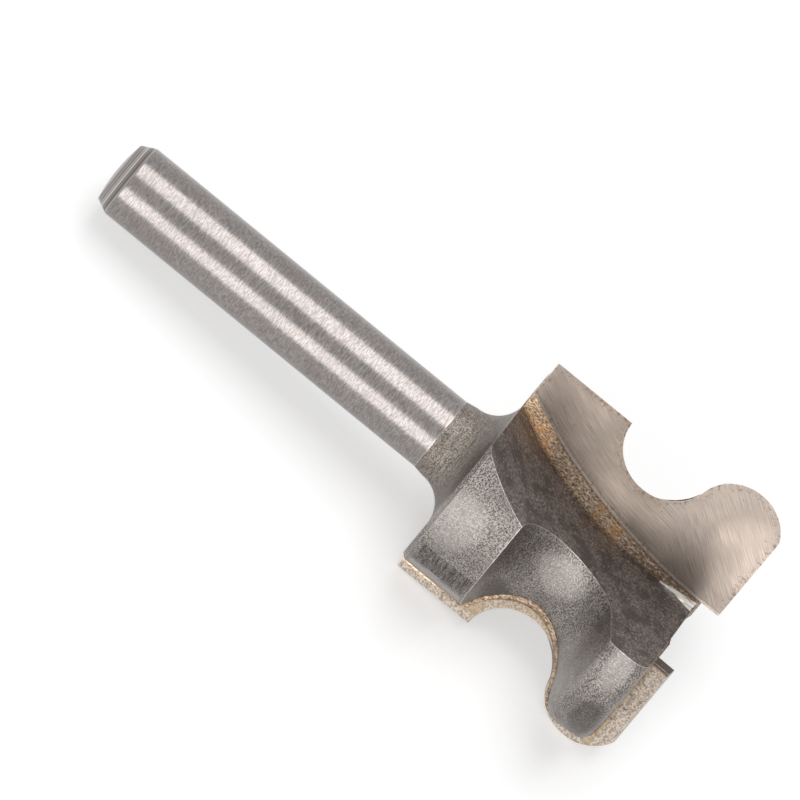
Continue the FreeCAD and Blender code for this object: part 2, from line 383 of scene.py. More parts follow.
# How the photograph looks at the bit
view = {
    "turn": 27.0,                  # degrees between wing 1's rake normal and the way to the camera
    "roll": 39.278,                # degrees that the axis dips below level in the picture
    "middleHeight": 29.37, "middleAside": 0.055,
    "distance": 1.0, "frameWidth": 0.06126, "sensor": 36.0,
}


# Millimetres along the bit from its shank end, and across it on either side of its axis
def alongAcross(graph, place):
    parts = graph.node("ShaderNodeSeparateXYZ", None, {0: place}, "X")
    turn = math.radians(view["turn"])
    across = parts * math.cos(turn) + parts.other("Y") * math.sin(turn)
    return parts, steel["length"] - parts.other("Z"), across


def edgeLine(graph, width):                             # 1 on a sharp edge, 0 beyond the given width
    away = graph.node("ShaderNodeAttribute", {"attribute_name": "edgeDistance"}, None, "Fac")
    return away, graph.ramp(away, width * 0.4, width, 1.0, 0.0)


def wornEdgeAndHighlight(graph, place, width):                            # the same, fainter in places: a pale edge line, partly wear and partly painted highlight
    return edgeLine(graph, width)[1] * graph.ramp(graph.noise(place, 1.6, 2.0), 0.36, 0.6, 0.5, 1.0)


def closeMaterial(graph, base, rough, height, depth, metal=1.0):
    bump = graph.node("ShaderNodeBump", None, {
        "Height": height, "Distance": depth * mm, "Strength": 1.0})
    shader = graph.node("ShaderNodeBsdfPrincipled", None, {
        "Base Color": base, "Roughness": rough, "Metallic": metal, "Normal": bump})
    graph.node("ShaderNodeOutputMaterial", None, {"Surface": shader})


# Each band is its centre, reach and soft rim, each spot its centre and reach, in millimetres along
# the bit and across it
shankFinish = {
    "dark": (0.185, 0.168, 0.160), "light": (0.325, 0.298, 0.285), "pit": (0.09, 0.078, 0.072),
    "ringDark": (0.11, 0.099, 0.095), "ringLight": (0.54, 0.505, 0.485), "wornAndHighlight": (0.48, 0.45, 0.43),
    "dashes": (1.6, 1.6, 7.5), "fine": (4.0, 4.0, 13.0), "rings": 5.0, "turnedEnd": (1.4, 1.25),
    "bevelEdge": (1.12, 0.05, 0.06), "endEdge": (0.86, 0.03, 0.06), "groundEdge": (0.05, 0.06),
    "rough": 0.19, "depth": 0.0022,
}


# Ground shank: short dashes round it, small pits, and a dark turned end
def makeShankSteel():
    f = shankFinish
    material, graph = newMaterial("groundShankSteel")
    place = bitPlace(graph)
    parts, along, _ = alongAcross(graph, place)
    dashes = graph.noise(graph.stretch(place, f["dashes"]), 1.2, 2.0, 0.6)
    fine = graph.noise(graph.stretch(place, f["fine"]), 1.0, 2.0, 0.6)
    marks = dashes * 0.6 + fine * 0.4
    broad = graph.noise(place, 0.3, 2.0)
    pits = graph.ramp(graph.cells(place, 1.0), 0.04, 0.09, 1.0, 0.0)
    base = graph.mix(graph.ramp(marks, 0.36, 0.64), f["dark"], f["light"])
    base = graph.mix(graph.ramp(broad, 0.4, 0.65) * 0.22, base, f["dark"])
    base = graph.mix(pits * 0.55, base, f["pit"])
    radius = (parts * parts + parts.other("Y") * parts.other("Y")) ** 0.5
    where = graph.node("ShaderNodeCombineXYZ", None, {"X": (along + radius) * f["rings"]})
    rings = graph.noise(where, 1.0, 2.0, 0.6)
    turned = graph.mix(graph.ramp(rings, 0.38, 0.62), f["ringDark"], f["ringLight"])
    end = graph.ramp(along, *f["turnedEnd"])
    base = graph.mix(end, base, turned)
    base = graph.mix(graph.band(along, *f["bevelEdge"]) * 0.8, base, f["ringDark"])
    base = graph.mix(graph.band(along, *f["endEdge"]) * 0.6, base, f["wornAndHighlight"])
    base = graph.mix(graph.band(along, steel["groundLength"], *f["groundEdge"]) * 0.45,
                     base, f["wornAndHighlight"])
    rough = f["rough"] + marks * 0.08 + end * 0.15
    closeMaterial(graph, base, rough, marks - pits * 0.8 + end * rings * 6.0, f["depth"])
    return material


headFinish = {
    "dark": (0.085, 0.074, 0.068), "light": (0.39, 0.357, 0.33), "patch": (0.145, 0.130, 0.120),
    "pale": (0.42, 0.39, 0.365), "spark": (0.80, 0.75, 0.69), "wornAndHighlight": (0.60, 0.56, 0.52),
    "deep": (0.045, 0.038, 0.035), "neckDark": (0.085, 0.070, 0.060),
    "neckLight": (0.34, 0.30, 0.262), "neckPlain": (0.195, 0.172, 0.158),
    "grainSize": 7.5, "edgeWidth": 0.07,
    "ridgeHighlight": ((53.6, 5.4), (1.3, 2.4)), "lobe": ((50.8, 7.2), (1.9, 3.6)),
    "coveSide": ((46.0, 2.6), (2.8, 1.8)), "landSide": ((37.2, 4.4), (2.6, 2.9)),
    "coveDepth": ((43.0, 6.9), (1.5, 1.6)), "nose": ((54.2, 9.8), (1.5, 2.0)),
    "chatter": ((7.9, 0.62, 0.12), (38.7, 2.2, 0.3)),
    "strip": ((8.87, 0.12, 0.06), (38.6, 2.3, 0.3)),
    "scratch": ((8.66, 0.015, 0.03), (38.2, 0.5, 0.3)),
    "shoulder": (36.4, 36.7), "neckEnd": (35.5, 35.35), "coarseNeck": (35.3, 33.5),
    "rough": 0.34, "depth": 0.045,
}


# Blasted steel of the head and neck, with a chattered band and a scratch on the land
def makeBlastedSteel():
    f = headFinish
    material, graph = newMaterial("blastedHeadSteel")
    place = bitPlace(graph)
    _, along, across = alongAcross(graph, place)
    side = abs(across)
    def spot(name):
        return graph.spot(along, side, *f[name])
    def patchOf(name):                                        # a band across by a band along
        return graph.band(side, *f[name][0]) * graph.band(along, *f[name][1])
    grain = graph.noise(graph.stretch(place, (1.0, 1.0, 1.3)), f["grainSize"], 2.0, 0.6)
    lumps = graph.noise(place, 3.0, 2.0)
    patch = graph.noise(place, 0.5, 3.0)
    streaks = graph.noise(graph.stretch(place, (0.8, 0.8, 7.0)), 1.2, 3.0, 0.6)
    spark = graph.ramp(graph.cells(place, 3.4), 0.07, 0.17, 1.0, 0.0)
    edge = wornEdgeAndHighlight(graph, place, f["edgeWidth"]) * graph.ramp(along, *f["shoulder"], 0.3, 1.0)
    # Painted highlights: pale spots on the bulb's ridge and lobe, on the cove's side and on the land
    ridgeHighlight = spot("ridgeHighlight")
    pale = graph.high(spot("lobe") * 0.7, ridgeHighlight)
    pale = graph.high(graph.high(pale, spot("coveSide")), spot("landSide"))
    # Painted shade: dark spots in the cove's hollow and on the nose
    paintedShade = graph.high(spot("coveDepth"), spot("nose"))
    base = graph.mix(graph.ramp(grain, 0.36, 0.64), f["dark"], f["light"])
    base = graph.mix(graph.ramp(patch, 0.38, 0.66) * 0.4, base, f["patch"])
    base = graph.mix(pale * 0.45, base, f["pale"])
    base = graph.mix(paintedShade * 0.6, base, f["deep"])
    # More sparkle on the ridge's painted highlight
    base = graph.mix(spark * (0.5 + ridgeHighlight * 0.4), base, f["spark"])
    chatter = patchOf("chatter") * graph.ramp(streaks, 0.4, 0.55, 0.9, 0.25)
    base = graph.mix(chatter, base, f["deep"])
    base = graph.mix(patchOf("strip") * 0.6, base, f["pale"])
    base = graph.mix(patchOf("scratch") * 0.6, base, f["wornAndHighlight"])
    neck = graph.ramp(along, *f["neckEnd"])
    coarse = graph.ramp(along, *f["coarseNeck"])              # rougher towards the ground shank
    blend = graph.ramp(streaks * 0.35 + grain * 0.65, 0.38, 0.62)
    brown = graph.mix(0.65 - coarse * 0.5, graph.mix(blend, f["neckDark"], f["neckLight"]),
                      f["neckPlain"])
    base = graph.mix(neck, base, graph.mix(spark * coarse * 0.5, brown, f["spark"]))
    # Pale line along the sharp edges, partly wear and partly painted highlight, fainter at the shoulder
    base = graph.mix(edge * 0.8, base, f["wornAndHighlight"])
    rough = f["rough"] + grain * 0.2 - edge * 0.12
    closeMaterial(graph, base, rough, grain + lumps * 1.3 + neck * streaks * 0.6, f["depth"])
    return material


# The bright foot of the gullets, ground in one pass over the wall's steel and the braze
groundFoot = {
    "light": (0.95, 0.92, 0.87), "dark": (0.24, 0.22, 0.20), "lines": (7.0, 7.0, 0.6),
    "start": (2.04, 52.13), "soft": 0.03,
}


def addFoot(graph, place, base, past, foot):                  # two masks: past the edge, and at the foot
    f = groundFoot
    ground = graph.noise(graph.stretch(place, f["lines"]), 1.5, 2.0)
    bright = graph.mix(graph.ramp(ground, 0.3, 0.6), f["dark"], f["light"])
    foot = foot * past
    return foot, graph.mix(foot, base, bright)


wallFinish = {
    "dark": (0.105, 0.092, 0.086), "light": (0.31, 0.277, 0.257), "smudge": (0.096, 0.084, 0.079),
    "spark": (0.66, 0.62, 0.56), "wornAndHighlight": (0.55, 0.53, 0.50), "grainSize": 5.5, "edgeWidth": 0.06,
    "footFrom": (52.1, 52.2), "footLean": 0.142, "rough": 0.42, "depth": 0.012,
}


# Oxidised walls of the gullets, ground bright at the foot
def makeWallSteel():
    f = wallFinish
    material, graph = newMaterial("milledWallSteel")
    place = bitPlace(graph)
    parts, along, across = alongAcross(graph, place)
    side = across * parts.math("SIGN", parts)                 # the same on both wings
    grain = graph.noise(graph.stretch(place, (1.0, 1.0, 0.8)), f["grainSize"], 3.0, 0.66)
    smudge = graph.noise(place, 0.6, 4.0, 0.62)
    spark = graph.ramp(graph.cells(place, 2.1), 0.11, 0.18, 1.0, 0.0)
    edge = wornEdgeAndHighlight(graph, place, f["edgeWidth"])
    base = graph.mix(graph.ramp(grain, 0.36, 0.64), f["dark"], f["light"])
    base = graph.mix(graph.ramp(smudge, 0.45, 0.62) * 0.75, base, f["smudge"])
    base = graph.mix(spark * 0.55, base, f["spark"])
    inward, start = groundFoot["start"]
    soft = groundFoot["soft"]
    past = graph.ramp(side - inward + (along - start) * f["footLean"], -soft, soft)
    foot, base = addFoot(graph, place, base, past, graph.ramp(along, *f["footFrom"]))
    # Pale line along the sharp edges, partly wear and partly painted highlight
    base = graph.mix(edge * 0.85, base, f["wornAndHighlight"])
    rough = f["rough"] + grain * 0.15 - edge * 0.15 - foot * 0.15
    closeMaterial(graph, base, rough, grain, f["depth"], 0.9)
    return material


rakeFinish = {
    "dark": (0.215, 0.178, 0.152), "light": (0.325, 0.275, 0.238), "cloud": (0.20, 0.172, 0.152),
    "stain": (0.13, 0.075, 0.038), "pit": (0.05, 0.034, 0.026), "wornAndHighlight": (0.55, 0.50, 0.44),
    "shade": (0.70, 0.68, 0.66), "noseLift": (1.35, 1.34, 1.33), "innerLift": (1.45, 1.45, 1.45),
    "lines": (13.0, 0.35), "lineTurn": (0.8, 0.6), "turnFrom": (5.8, 7.6), "edgeWidth": 0.06,
    "dullSpot": ((3.8, 3.1), (2.6, 1.7)), "noseSpot": ((1.4, 7.4), (3.4, 4.0)),
    "shadeFrom": (6.6, 9.8), "shadeTo": (16.5, 14.5),
    "innerFrom": (9.0, 12.0), "innerWidth": (2.8, 0.3),
    "paleLine": (0.13, 0.06, 0.05), "darkLine": (0.30, 0.03, 0.04), "rough": 0.3, "depth": 0.004,
}


# Carbide: fine grinding lines on the rake face, soot and rust near its rim
def makeRakeCarbide():
    f, c = rakeFinish, carbide
    material, graph = newMaterial("groundCarbide")
    place = bitPlace(graph)
    parts = graph.node("ShaderNodeSeparateXYZ", None, {0: place}, "X")
    out, up = abs(parts), parts.other("Z")
    def lines(first, second):
        return graph.noise(graph.node("ShaderNodeCombineXYZ", None, {
            "X": first * f["lines"][0], "Y": second * f["lines"][1]}), 1.3, 3.0, 0.55)
    centre = c["traceOffset"] + c["traceRadius"]
    curve = ((out - centre) ** 2.0 + (up - c["traceHeight"]) ** 2.0) ** 0.5
    share = graph.ramp(up, *f["turnFrom"])               # lines aslant below, along the curve above
    across, along = f["lineTurn"]
    slant = lines(out * across - up * along, out * along + up * across)
    marks = slant * (1 - share) + lines(curve, up) * share
    cloud = graph.noise(place, 0.34, 3.0)
    stain = graph.noise(place, 3.2, 4.0, 0.66)
    away, edge = edgeLine(graph, f["edgeWidth"])
    rim = graph.ramp(away, 0.08, 0.8, 1.0, 0.0) * graph.ramp(stain, 0.5, 0.66)
    pits = graph.ramp(graph.cells(place, 1.2), 0.035, 0.08, 1.0, 0.0)
    dots = graph.ramp(graph.cells(place, 2.4), 0.10, 0.2, 1.0, 0.0)
    dots = dots * graph.ramp(away, 0.5, 0.9, 1.0, 0.0)
    base = graph.mix(graph.ramp(marks, 0.36, 0.64), f["dark"], f["light"])
    base = graph.mix(graph.ramp(cloud, 0.38, 0.66) * 0.4, base, f["cloud"])
    base = graph.mix(graph.spot(up, out, *f["dullSpot"]) * 0.3, base, f["cloud"])
    shade = graph.ramp(up, *f["shadeFrom"]) * graph.ramp(up, *f["shadeTo"], 0.55, 0.85)
    base = graph.mix(shade, base, f["shade"], "MULTIPLY")
    # Painted light: a lighter patch at the nose of the rake face
    base = graph.mix(graph.spot(up, out, *f["noseSpot"]), base, f["noseLift"], "MULTIPLY")
    line = c["traceRadius"] - curve                          # a pale line with a dark one beside it
    # Painted light: lighter along the inner rim of the upper rake face
    inner = graph.ramp(line, *f["innerWidth"]) * graph.ramp(up, *f["innerFrom"])
    base = graph.mix(inner, base, f["innerLift"], "MULTIPLY")
    base = graph.mix(graph.band(line, *f["paleLine"]) * 0.45, base, f["wornAndHighlight"])
    base = graph.mix(graph.band(line, *f["darkLine"]) * 0.45, base, f["cloud"])
    base = graph.mix(rim * 0.6, base, f["stain"])
    base = graph.mix(graph.high(pits * 0.7, dots * 0.45), base, f["pit"])
    # Pale line along the sharp edges, partly wear and partly painted highlight
    base = graph.mix(edge * 0.6, base, f["wornAndHighlight"])
    rough = f["rough"] + marks * 0.1 + rim * 0.15
    closeMaterial(graph, base, rough, marks, f["depth"])
    return material


flankFinish = {
    "dark": (0.24, 0.198, 0.162), "light": (0.55, 0.478, 0.405), "gold": (0.40, 0.29, 0.165),
    "soot": (0.13, 0.095, 0.072), "shade": (0.085, 0.062, 0.052), "wornAndHighlight": (0.55, 0.49, 0.41),
    "grainSize": 7.0, "edgeWidth": 0.06, "landRim": (9.55, 9.3), "landFrom": (14.0, 14.6),
    "endRim": (1.62, 0.16, 0.14), "coveRim": (10.5, 3.0, 1.0), "behindFrom": (-0.12, -0.02),
    "innerShade": (2.6, 2.35), "rough": 0.45, "depth": 0.03,
}


# Unground carbide of the tips' backs and flanks, with braze and flux on it
def makeFlankCarbide():
    f = flankFinish
    material, graph = newMaterial("sinteredCarbide")
    place = bitPlace(graph)
    parts = graph.node("ShaderNodeSeparateXYZ", None, {0: place}, "X")
    grain = graph.noise(place, f["grainSize"], 3.0, 0.65)
    cloud = graph.noise(place, 1.1, 3.0)
    edge = edgeLine(graph, f["edgeWidth"])[1]
    behind = abs(parts.other("Y")) - carbide["rakeOffset"] - carbide["thickness"]
    up = parts.other("Z")
    radius = (parts * parts + parts.other("Y") * parts.other("Y")) ** 0.5
    land = graph.ramp(radius, *f["landRim"]) * graph.ramp(up, *f["landFrom"])
    nearSteel = graph.high(land, graph.band(up, *f["endRim"])) * 0.8
    nearSteel = graph.high(nearSteel, graph.band(up, *f["coveRim"]) * 0.45)
    gilt = graph.ramp(behind, *f["behindFrom"]) * nearSteel
    sooty = graph.ramp(cloud, 0.56, 0.7) * graph.ramp(grain, 0.4, 0.6, 0.9, 0.3)
    base = graph.mix(graph.ramp(grain, 0.38, 0.62), f["dark"], f["light"])
    base = graph.mix(gilt * graph.ramp(grain, 0.4, 0.6, 0.3, 0.9), base, f["gold"])
    base = graph.mix(sooty, base, f["soot"])
    base = graph.mix(graph.ramp(abs(parts), *f["innerShade"]) * 0.85, base, f["shade"])
    # Pale line along the sharp edges, partly wear and partly painted highlight
    base = graph.mix(edge * 0.7, base, f["wornAndHighlight"])
    closeMaterial(graph, base, f["rough"] + grain * 0.2, grain, f["depth"], 0.9)
    return material


brazeColours = {
    "dark": (0.135, 0.09, 0.062), "light": (0.52, 0.385, 0.27), "rust": (0.45, 0.27, 0.13),
    "silver": (0.72, 0.66, 0.58), "topPaintedLight": (2.2, 2.1, 2.0), "grainSize": 7.0,
    "grainStretch": (1.3, 1.3, 0.5), "silverStretch": (1.0, 1.0, 0.6), "edgeWidth": 0.3,
    "frontTo": (5.7, 5.4), "upperRust": (37.6, 1.8, 1.0), "lowerRust": (46.2, 1.0, 0.8),
    "darkFrom": (47.5, 49.5), "topFrom": (40.5, 37.0), "footBand": (53.76, 1.6, 0.06),
    "footLean": 0.104, "rough": 0.42, "depth": 0.03,
}


# Braze: brown and orange oxide over silvery metal
def makeBrazeFinish():
    f = brazeColours
    material, graph = newMaterial("oxidisedBraze")
    place = bitPlace(graph)
    parts, along, across = alongAcross(graph, place)
    side = across * parts.math("SIGN", parts)
    grain = graph.noise(graph.stretch(place, f["grainStretch"]), f["grainSize"], 3.0, 0.66)
    cloud = graph.noise(place, 1.0, 3.0)
    front = graph.ramp(side, *f["frontTo"])    # the strip beside the rake face, not the bead behind
    silver = graph.noise(graph.stretch(place, f["silverStretch"]), 4.2, 3.0, 0.62)
    silver = graph.ramp(silver, 0.52, 0.62)
    rust = graph.high(graph.band(along, *f["upperRust"]), graph.band(along, *f["lowerRust"]))
    rust = rust * front
    away, edge = edgeLine(graph, f["edgeWidth"])
    rusty = rust * graph.ramp(cloud, 0.35, 0.6) * graph.ramp(grain, 0.38, 0.52)
    base = graph.mix(graph.ramp(grain, 0.4, 0.6), f["dark"], f["light"])
    base = graph.mix(rusty, base, f["rust"])
    base = graph.mix(graph.ramp(along, *f["darkFrom"]) * 0.55, base, f["dark"])
    middle = front * graph.ramp(away, 0.16, 0.4)
    base = graph.mix(silver * (0.15 + middle * 0.5 - rust * 0.1), base, f["silver"])
    base = graph.mix(edge * front * graph.ramp(grain, 0.4, 0.6, 0.8, 0.4), base, f["dark"])
    # Painted light: the strip's top made lighter where it lies in shadow
    base = graph.mix(graph.ramp(along, *f["topFrom"]), base, f["topPaintedLight"], "MULTIPLY")
    inward, start = groundFoot["start"]
    soft = groundFoot["soft"]
    past = graph.ramp(side - inward - (along - start) * f["footLean"], -soft, soft, 1.0, 0.0)
    _, base = addFoot(graph, place, base, past, graph.band(along, *f["footBand"]))
    rough = f["rough"] + grain * 0.2 - silver * 0.12
    closeMaterial(graph, base, rough, grain, f["depth"], 0.85)
    return material


steel = {
    "length": 57.3, "endRadius": 2.6, "endBevel": 1.4, "endCrown": 0.25, "shankRadius": 3.175,
    "groundLength": 32.0, "neckRadius": 3.33, "neckFillet": 2.6,
    "shoulderHeight": 21.8, "landCorner": 0.35, "landRadius": 9.15, "flankLean": 1.54,
    "creaseFoot": 2.6, "creaseTop": 7.4, "creaseWidth": 0.9, "creaseAngle": 7.0, "passes": 60,
    "coveRadius": 4.9, "coveHeight": 11.197, "coveThroat": 7.54, "coveShift": 3.0,
    "rimRadius": 11.45, "flankCorner": 1.8, "flankBlend": 0.1, "endCorner": 1.3, "endHeight": 1.85,
    "wallOffset": 1.22, "discRadius": 27.0, "discHeight": 7.2, "seatDepth": 2.75, "wings": 2,
    "around": 200, "headStep": 0.4, "shankStep": 1.2,
    "finest": 0.13, "coarsest": 0.8, "sharpFrom": 19.0,
}


def headProfile():                                       # from the end face's middle up to the land
    s = steel
    rim, end = s["rimRadius"], s["endHeight"]
    flank = s["coveHeight"] - s["coveRadius"] + s["flankBlend"]
    crown = rim - s["flankCorner"]
    quarter = math.pi / 2
    step = s["headStep"]
    return (line((0, end), (rim - s["endCorner"], end), step * 2)
            + arc((rim - s["endCorner"], end + s["endCorner"]), s["endCorner"], -quarter, 0,
                  step * 0.6)
            + line((rim, end + s["endCorner"]), (rim, flank - s["flankCorner"]), step)
            + arc((crown, flank - s["flankCorner"]), s["flankCorner"], 0, quarter, step * 0.5)
            + line((crown, flank), (crown, s["coveHeight"]), step)
            + line((crown, s["coveHeight"]), (s["landRadius"], s["coveHeight"]), step)
            + line((s["landRadius"], s["coveHeight"]),
                   (s["landRadius"], s["shoulderHeight"] - s["landCorner"]), step))


def shankProfile():                             # from the land's top corner to the end of the shank
    s = steel
    land, top, corner = s["landRadius"], s["shoulderHeight"], s["landCorner"]
    neck, fillet = s["neckRadius"], s["neckFillet"]
    groundFrom = s["length"] - s["groundLength"]
    dome = (s["endRadius"] ** 2 + s["endCrown"] ** 2) / (2 * s["endCrown"])   # the end's low dome
    bevelFrom, domeFrom = s["length"] - s["endBevel"], s["length"] - s["endCrown"]
    quarter = math.pi / 2
    rim = quarter - math.asin(s["endRadius"] / dome)
    fine = 0.15
    return (line((land, top - corner), (land - corner, top), fine * 0.8)
            + line((land - corner, top), (neck + fillet, top), s["headStep"])
            + arc((neck + fillet, top + fillet), fillet, -quarter, -math.pi, fine * 1.2)
            + line((neck, top + fillet), (s["shankRadius"], groundFrom), fine)
            + line((s["shankRadius"], groundFrom), (s["shankRadius"], bevelFrom), s["shankStep"])
            + line((s["shankRadius"], bevelFrom), (s["endRadius"], domeFrom), fine)
            + arc((0, s["length"] - dome), dome, rim, quarter, 0.2)
            + [(0, s["length"])])


def profileObject(name, points):
    mesh = bpy.data.meshes.new(name)
    edges = [(i, i + 1) for i in range(len(points) - 1)]
    mesh.from_pydata([(across, 0, up) for across, up in points], edges, [])
    return objectOf(name, mesh)


def wallAcross(height):                             # the gullet wall's distance from the axis plane
    s = steel
    rise = max(0.0, height - s["discHeight"])
    return s["wallOffset"] + s["discRadius"] - math.sqrt(s["discRadius"] ** 2 - rise ** 2)


def coveCutter(turning):
    s = steel
    radius, height, reach = s["coveRadius"], s["coveHeight"], 28.0
    centre = s["coveThroat"] + radius
    lean = math.asin(s["flankLean"] / radius)    # the lower side falls outwards, tangent to the arc
    leave = (centre - s["flankLean"], height - radius * math.cos(lean))
    foot = leave[1] - (reach - leave[0]) * math.tan(lean)
    points = (line((reach, height + radius), (centre, height + radius), 1.0)
              + arc((centre, height), radius, math.pi / 2, 3 * math.pi / 2 - lean, 0.25)
              + line(leave, (reach, foot), 1.0)
              + line((reach, foot), (reach, height + radius), 2.0) + [(reach, height + radius)])
    cutter = profileObject("coveCutter", points)
    addTree(cutter, turning, {"Around": s["around"], "Axis Aside": -s["coveShift"]})
    return objectOf("coveCutterSolid", plainMesh(cutter))


def gulletCutter():
    s = steel
    top, reach, front = s["shoulderHeight"] + 1.0, 25.0, -16.0
    heights = [-1.0, s["discHeight"]]
    count = 44
    heights += [s["discHeight"] + (top - s["discHeight"]) * i / count for i in range(1, count + 1)]
    outline = [(wallAcross(height), height) for height in heights] + [(reach, top), (reach, -1.0)]
    cutter = bmesh.new()
    near = [cutter.verts.new((across, s["seatDepth"], up)) for across, up in outline]
    far = [cutter.verts.new((across, front, up)) for across, up in outline]
    cutter.faces.new(near)
    cutter.faces.new(list(reversed(far)))
    for i in range(len(outline)):
        after = (i + 1) % len(outline)
        cutter.faces.new((near[i], far[i], far[after], near[after]))
    bmesh.ops.recalc_face_normals(cutter, faces=cutter.faces)
    mesh = bpy.data.meshes.new("gulletCutter")
    cutter.to_mesh(mesh)
    cutter.free()
    return objectOf("gulletCutter", mesh)


def steelZone(face):                                      # 0 blasted, 1 ground shank, 2 gullet wall
    s = steel
    middle, normal, near = face.calc_center_median(), face.normal, 0.02
    if middle.z > s["length"] - s["groundLength"]:
        return 1
    for side in (1, -1):
        across, along = middle.x * side, middle.y * side
        onWall = abs(across - wallAcross(middle.z)) < near and along < s["seatDepth"] + near
        onSeat = abs(along - s["seatDepth"]) < near and across > 0
        if (onWall and normal.x * side > 0.5) or (onSeat and normal.y * side < -0.9):
            return 2
    return 0


# The cove's lean side runs into the rounded lobe with no crease
def softenCrease(geometry):
    s = steel
    def milled(vert):
        inReach = s["creaseFoot"] < vert.co.z < s["creaseTop"]
        return inReach and all(face.material_index == 0 for face in vert.link_faces)
    crease = [edge for edge in geometry.edges if len(edge.link_faces) == 2
              and edge.calc_face_angle(0.0) > math.radians(s["creaseAngle"])
              and all(milled(vert) for vert in edge.verts)]
    tree = KDTree(len(crease))
    for index, edge in enumerate(crease):
        tree.insert((edge.verts[0].co + edge.verts[1].co) / 2, index)
        edge.smooth = True
    tree.balance()
    near = [vert for vert in geometry.verts
            if milled(vert) and tree.find(vert.co)[2] < s["creaseWidth"]]
    for _ in range(s["passes"]):
        bmesh.ops.smooth_vert(geometry, verts=near, factor=0.5,
                              use_axis_x=True, use_axis_y=True, use_axis_z=True)
    away = geometry.verts.layers.float["edgeDistance"]
    hard = [edge for edge in geometry.edges if not edge.smooth]
    tree = KDTree(len(hard) * 2)
    for index, edge in enumerate(hard):
        for vert in edge.verts:
            tree.insert(vert.co, index)
    tree.balance()
    for vert in near:
        vert[away] = min(meshing["farthest"], tree.find(vert.co)[2])


def makeSteelBody():
    turning, milling = turningTree(), millingTree()
    blank = profileObject("turnedBlank", headProfile() + shankProfile())
    addTree(blank, turning, {
        "Around": steel["around"], "Axis Aside": 0.0, "Material": blastedSteel})
    cove, gullet = coveCutter(turning), gulletCutter()
    addTree(blank, milling, {"Cove Cutter": cove, "Gullet Cutter": gullet, "Wings": steel["wings"],
                             "Material": blastedSteel})
    mesh = plainMesh(blank)
    for cutter in (cove, gullet):
        bpy.data.objects.remove(cutter)
    print("head milled", len(mesh.polygons), "faces")
    geometry = bmesh.new()
    geometry.from_mesh(mesh)
    finishMesh(geometry, steel)
    for face in geometry.faces:
        face.material_index = steelZone(face)
    softenCrease(geometry)
    print("steel body", len(geometry.faces), "triangles")
    made = meshOf("steelBody", geometry)
    for material in (blastedSteel, shankSteel, wallSteel):
        made.materials.append(material)
    piece = objectOf("steelBody", made)
    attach(piece, "root")
    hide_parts("body")
    return piece


carbide = {
    "rakeOffset": 1.5, "thickness": 1.15, "tops": (21.75, 21.5),
    "landReach": 10.362, "bulbReach": 8.961, "bulbRadius": 3.65, "bulbHeight": 3.38,
    "coveRadius": 3.8, "coveHeight": 10.697,
    "traceRadius": 45.0, "traceOffset": 2.2, "traceHeight": 1.5,
    "radialRelief": 0.5, "sideRelief": 0.1, "endRelief": 0.12,
    "finest": 0.1, "coarsest": 0.7, "sharpFrom": 25.0,
}


def tipOutline(radial, side, end, top):
    c = carbide
    trace = c["traceOffset"] + c["traceRadius"]
    bulb, cove = c["bulbReach"] - radial, c["landReach"] - radial
    bulbRadius, coveRadius = c["bulbRadius"] - side, c["coveRadius"] + side
    bulbAt, coveAt = (bulb, c["bulbHeight"]), (cove, c["coveHeight"])
    start = math.asin((end - c["bulbHeight"]) / bulbRadius)
    meet = math.atan2(coveAt[1] - bulbAt[1], coveAt[0] - bulbAt[0])
    leave = math.atan2(math.sqrt(coveRadius ** 2 - side ** 2), -side)   # where cove meets land
    def traceAngle(height):
        return math.pi - math.asin((height - c["traceHeight"]) / c["traceRadius"])
    foot = (trace + c["traceRadius"] * math.cos(traceAngle(end)), end)
    nose = (bulbAt[0] + bulbRadius * math.cos(start), end)
    shoulder = (cove - side, coveAt[1] + math.sqrt(coveRadius ** 2 - side ** 2))
    roof = (trace + c["traceRadius"] * math.cos(traceAngle(top)), top)
    return (lineOf(foot, nose, 12)
            + arcOf(bulbAt, bulbRadius, start, meet, 44)
            + arcOf(coveAt, coveRadius, meet - math.pi, leave - fullTurn, 56)
            + lineOf(shoulder, (cove - side, top), 20)
            + lineOf((cove - side, top), roof, 10)
            + arcOf((trace, c["traceHeight"]), c["traceRadius"],
                    traceAngle(top), traceAngle(end), 40))


def makeTip(number):
    c = carbide
    top = c["tops"][number - 1]
    way = 1 if number == 1 else -1
    front = tipOutline(0.0, 0.0, 0.0, top)
    back = tipOutline(c["radialRelief"], c["sideRelief"], c["endRelief"], top)
    geometry = bmesh.new()
    rings = []
    for outline, depth in ((front, c["rakeOffset"]), (back, c["rakeOffset"] + c["thickness"])):
        rings.append([geometry.verts.new((across * way, depth * way, up))
                      for across, up in outline])
    geometry.faces.new(rings[0])
    geometry.faces.new(list(reversed(rings[1])))
    for i in range(len(front)):
        after = (i + 1) % len(front)
        geometry.faces.new((rings[0][i], rings[1][i], rings[1][after], rings[0][after]))
    bmesh.ops.recalc_face_normals(geometry, faces=geometry.faces)
    finishMesh(geometry, carbide)
    print("carbide tip", number, len(geometry.faces), "triangles")
    for face in geometry.faces:                              # 0 ground rake face, 1 flanks and back
        face.material_index = 0 if face.normal.y * way < -0.99 else 1
    piece = objectOf(f"carbideTip{number}", meshOf(f"carbideTip{number}", geometry))
    for material in (rakeCarbide, flankCarbide):
        piece.data.materials.append(material)
    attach(piece, "root")
    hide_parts(f"carbide_tip_{number}")
    return piece


braze = {
    "finest": 0.16, "coarsest": 0.3, "sharpFrom": 40.0, "lump": 0.05, "lumpSize": 1.4, "seed": 5,
    "trimHeight": 1.86, "trimDepth": 2.55,
}


